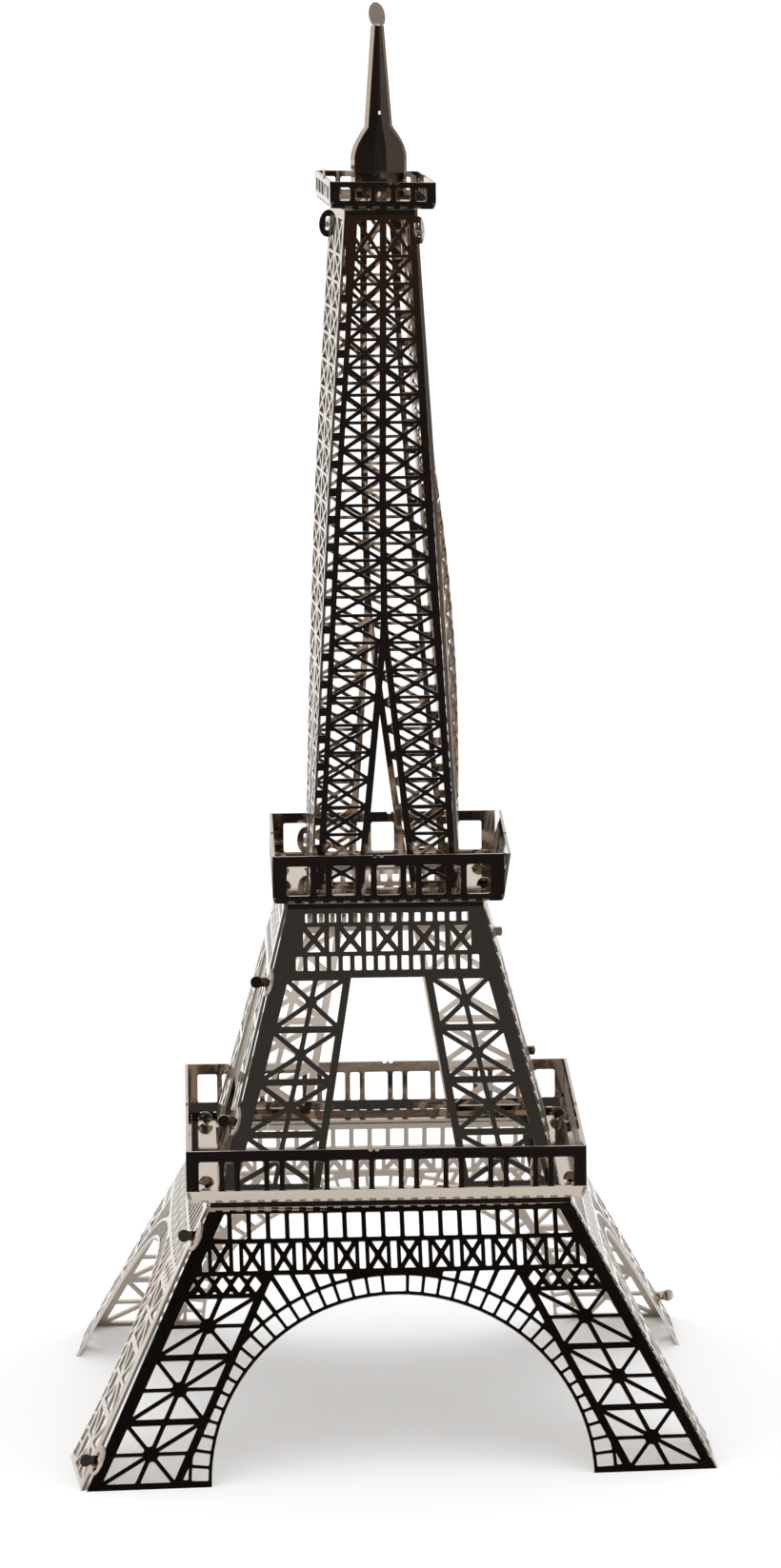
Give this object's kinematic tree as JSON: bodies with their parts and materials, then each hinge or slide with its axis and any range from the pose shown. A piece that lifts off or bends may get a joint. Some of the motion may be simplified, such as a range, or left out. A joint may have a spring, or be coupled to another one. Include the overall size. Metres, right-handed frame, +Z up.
{
  "type": "miniature landmark model",
  "caption": "Desk model of a lattice tower folded from cut steel sheet, with arched legs, railed square platforms, a tapering shaft and a bottle-shaped spire, held together by twisted tabs.",
  "frame": {"origin": "centre of the square of feet, on the ground", "axes": "+Z up along the tower's axis, -Y the front panel's side, +X to the right seen from the front"},
  "size_m": [0.0614, 0.0614, 0.14],
  "materials": {
    "lower_steel": "bright rolled steel sheet with etched edges",
    "middle_steel": "bright rolled steel sheet with etched edges",
    "upper_steel": "bright rolled steel sheet with etched edges",
    "platform_steel": "bright rolled steel sheet with etched edges",
    "spire_steel": "bright rolled steel sheet with its rims bent back"
  },
  "bodies": {
    "root": {"lower_section_front_right": "lower_steel", "lower_section_back_left": "lower_steel", "first_platform": "platform_steel", "middle_section_front_right": "middle_steel", "middle_section_back_left": "middle_steel", "second_platform": "platform_steel", "upper_section_front_left": "upper_steel", "upper_section_back_right": "upper_steel", "top_platform": "platform_steel", "spire": "spire_steel"}
  },
  "joints": []
}
